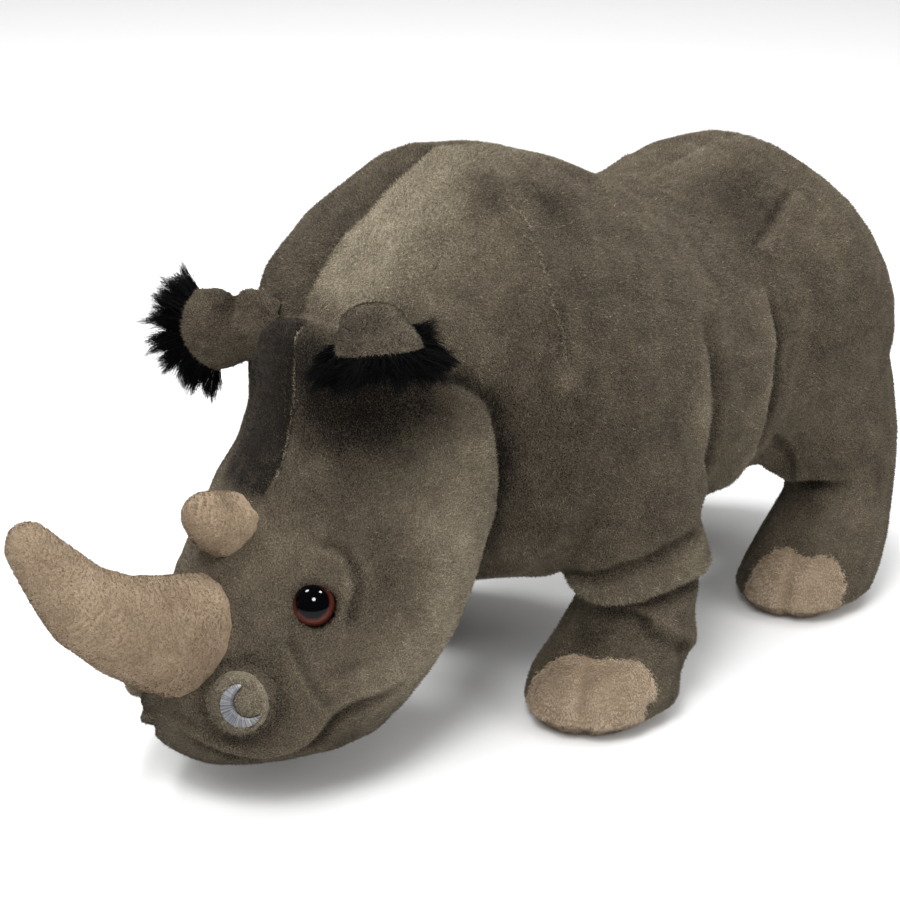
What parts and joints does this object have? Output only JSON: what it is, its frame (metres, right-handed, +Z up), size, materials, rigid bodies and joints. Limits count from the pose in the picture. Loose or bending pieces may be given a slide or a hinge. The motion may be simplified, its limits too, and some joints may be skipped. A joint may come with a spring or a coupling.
{
  "type": "stuffed plush rhinoceros",
  "caption": "Stuffed plush rhinoceros toy, standing with its head lowered, with a long curved front horn, small rear horn, fringed ears and tan toe patches.",
  "frame": {"origin": "on the floor, under the middle of the bounding box", "axes": "+Z up, the animal looks along -Y, its left side is +X"},
  "size_m": [0.1442, 0.36, 0.1764],
  "materials": {
    "grey_plush": "short dense plush pile",
    "tan_plush": "short fleecy plush pile",
    "black_plush": "long shaggy pile",
    "blue_thread": "satin embroidery thread",
    "eye_plastic": "glossy domed safety eye"
  },
  "bodies": {
    "root": {"trunk": "grey_plush", "neck": "grey_plush", "head": "grey_plush", "left_ear": "grey_plush", "right_ear": "grey_plush", "left_ear_fringe": "black_plush", "right_ear_fringe": "black_plush", "left_nostril": "grey_plush", "right_nostril": "grey_plush", "left_nostril_stitch": "blue_thread", "right_nostril_stitch": "blue_thread", "left_eye": "eye_plastic", "right_eye": "eye_plastic", "front_horn": "tan_plush", "rear_horn": "tan_plush", "front_left_leg": "grey_plush", "front_right_leg": "grey_plush", "hind_left_leg": "grey_plush", "hind_right_leg": "grey_plush", "front_left_toes": "tan_plush", "front_right_toes": "tan_plush", "hind_left_toes": "tan_plush", "hind_right_toes": "tan_plush", "front_left_sole": "tan_plush", "front_right_sole": "tan_plush", "hind_left_sole": "tan_plush", "hind_right_sole": "tan_plush", "tail": "grey_plush", "tail_tuft": "black_plush"}
  },
  "joints": []
}
